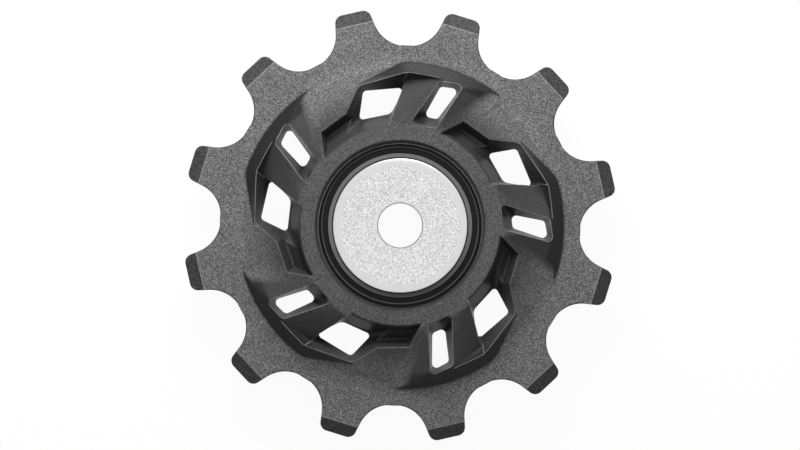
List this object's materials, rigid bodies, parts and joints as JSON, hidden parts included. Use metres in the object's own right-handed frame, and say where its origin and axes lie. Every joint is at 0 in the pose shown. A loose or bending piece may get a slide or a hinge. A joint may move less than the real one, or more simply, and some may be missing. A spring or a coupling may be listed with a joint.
{
  "type": "derailleur jockey wheel",
  "caption": "Toothed plastic jockey wheel for a bicycle rear derailleur, with a swirled openwork web, a sealed ball bearing, a centre sleeve and stamped caps round an axle hole.",
  "frame": {"origin": "on the axle's axis, midway between the outer faces of the two caps", "axes": "+Z along the axle; +X and +Y to the right and up as the wheel is seen from +Z"},
  "size_m": [0.0494, 0.0494, 0.0076],
  "materials": {
    "wheel_plastic": "spark-textured black",
    "cap_steel": "tumbled stainless",
    "bearing_steel": "dark ground steel",
    "ball_steel": "polished",
    "cage_steel": "pressed strip",
    "seal_rubber": "matte moulded rubber",
    "sleeve_alloy": "turned"
  },
  "bodies": {
    "core": {"centre_sleeve": "sleeve_alloy", "bearing_inner_ring": "bearing_steel", "cap_upper": "cap_steel", "cap_lower": "cap_steel"},
    "wheel": {"pulley_wheel": "wheel_plastic", "bearing_outer_ring": "bearing_steel", "seal_upper": "seal_rubber", "seal_lower": "seal_rubber"},
    "cage": {"cage_half_upper": "cage_steel", "cage_half_lower": "cage_steel", "cage_rivets": "cage_steel"},
    "ball_01": {"ball_01": "ball_steel"},
    "ball_02": {"ball_02": "ball_steel"},
    "ball_03": {"ball_03": "ball_steel"},
    "ball_04": {"ball_04": "ball_steel"},
    "ball_05": {"ball_05": "ball_steel"},
    "ball_06": {"ball_06": "ball_steel"},
    "ball_07": {"ball_07": "ball_steel"},
    "ball_08": {"ball_08": "ball_steel"},
    "ball_09": {"ball_09": "ball_steel"},
    "ball_10": {"ball_10": "ball_steel"}
  },
  "joints": [
    {"name": "wheel_spin", "type": "hinge", "parent": "core", "child": "wheel", "pos_m": [0, 0, 0], "axis": [0, 0, 1], "continuous": true},
    {"name": "cage_orbit", "type": "hinge", "parent": "core", "child": "cage", "pos_m": [0, 0, 0], "axis": [0, 0, 1], "continuous": true},
    {"name": "ball_01_spin", "type": "hinge", "parent": "cage", "child": "ball_01", "pos_m": [0.00725, 0, 0], "axis": [0, 0, 1], "continuous": true},
    {"name": "ball_02_spin", "type": "hinge", "parent": "cage", "child": "ball_02", "pos_m": [0.00587, 0.00426, 0], "axis": [0, 0, 1], "continuous": true},
    {"name": "ball_03_spin", "type": "hinge", "parent": "cage", "child": "ball_03", "pos_m": [0.00224, 0.0069, 0], "axis": [0, 0, 1], "continuous": true},
    {"name": "ball_04_spin", "type": "hinge", "parent": "cage", "child": "ball_04", "pos_m": [-0.00224, 0.0069, 0], "axis": [0, 0, 1], "continuous": true},
    {"name": "ball_05_spin", "type": "hinge", "parent": "cage", "child": "ball_05", "pos_m": [-0.00587, 0.00426, 0], "axis": [0, 0, 1], "continuous": true},
    {"name": "ball_06_spin", "type": "hinge", "parent": "cage", "child": "ball_06", "pos_m": [-0.00725, 0, 0], "axis": [0, 0, 1], "continuous": true},
    {"name": "ball_07_spin", "type": "hinge", "parent": "cage", "child": "ball_07", "pos_m": [-0.00587, -0.00426, 0], "axis": [0, 0, 1], "continuous": true},
    {"name": "ball_08_spin", "type": "hinge", "parent": "cage", "child": "ball_08", "pos_m": [-0.00224, -0.0069, 0], "axis": [0, 0, 1], "continuous": true},
    {"name": "ball_09_spin", "type": "hinge", "parent": "cage", "child": "ball_09", "pos_m": [0.00224, -0.0069, 0], "axis": [0, 0, 1], "continuous": true},
    {"name": "ball_10_spin", "type": "hinge", "parent": "cage", "child": "ball_10", "pos_m": [0.00587, -0.00426, 0], "axis": [0, 0, 1], "continuous": true}
  ],
  "couplings": [
    {"joint": "cage_orbit", "follows": "wheel_spin", "ratio": 0.58207},
    {"joint": "ball_01_spin", "follows": "wheel_spin", "ratio": 2.9642},
    {"joint": "ball_02_spin", "follows": "wheel_spin", "ratio": 2.9642},
    {"joint": "ball_03_spin", "follows": "wheel_spin", "ratio": 2.9642},
    {"joint": "ball_04_spin", "follows": "wheel_spin", "ratio": 2.9642},
    {"joint": "ball_05_spin", "follows": "wheel_spin", "ratio": 2.9642},
    {"joint": "ball_06_spin", "follows": "wheel_spin", "ratio": 2.9642},
    {"joint": "ball_07_spin", "follows": "wheel_spin", "ratio": 2.9642},
    {"joint": "ball_08_spin", "follows": "wheel_spin", "ratio": 2.9642},
    {"joint": "ball_09_spin", "follows": "wheel_spin", "ratio": 2.9642},
    {"joint": "ball_10_spin", "follows": "wheel_spin", "ratio": 2.9642}
  ]
}
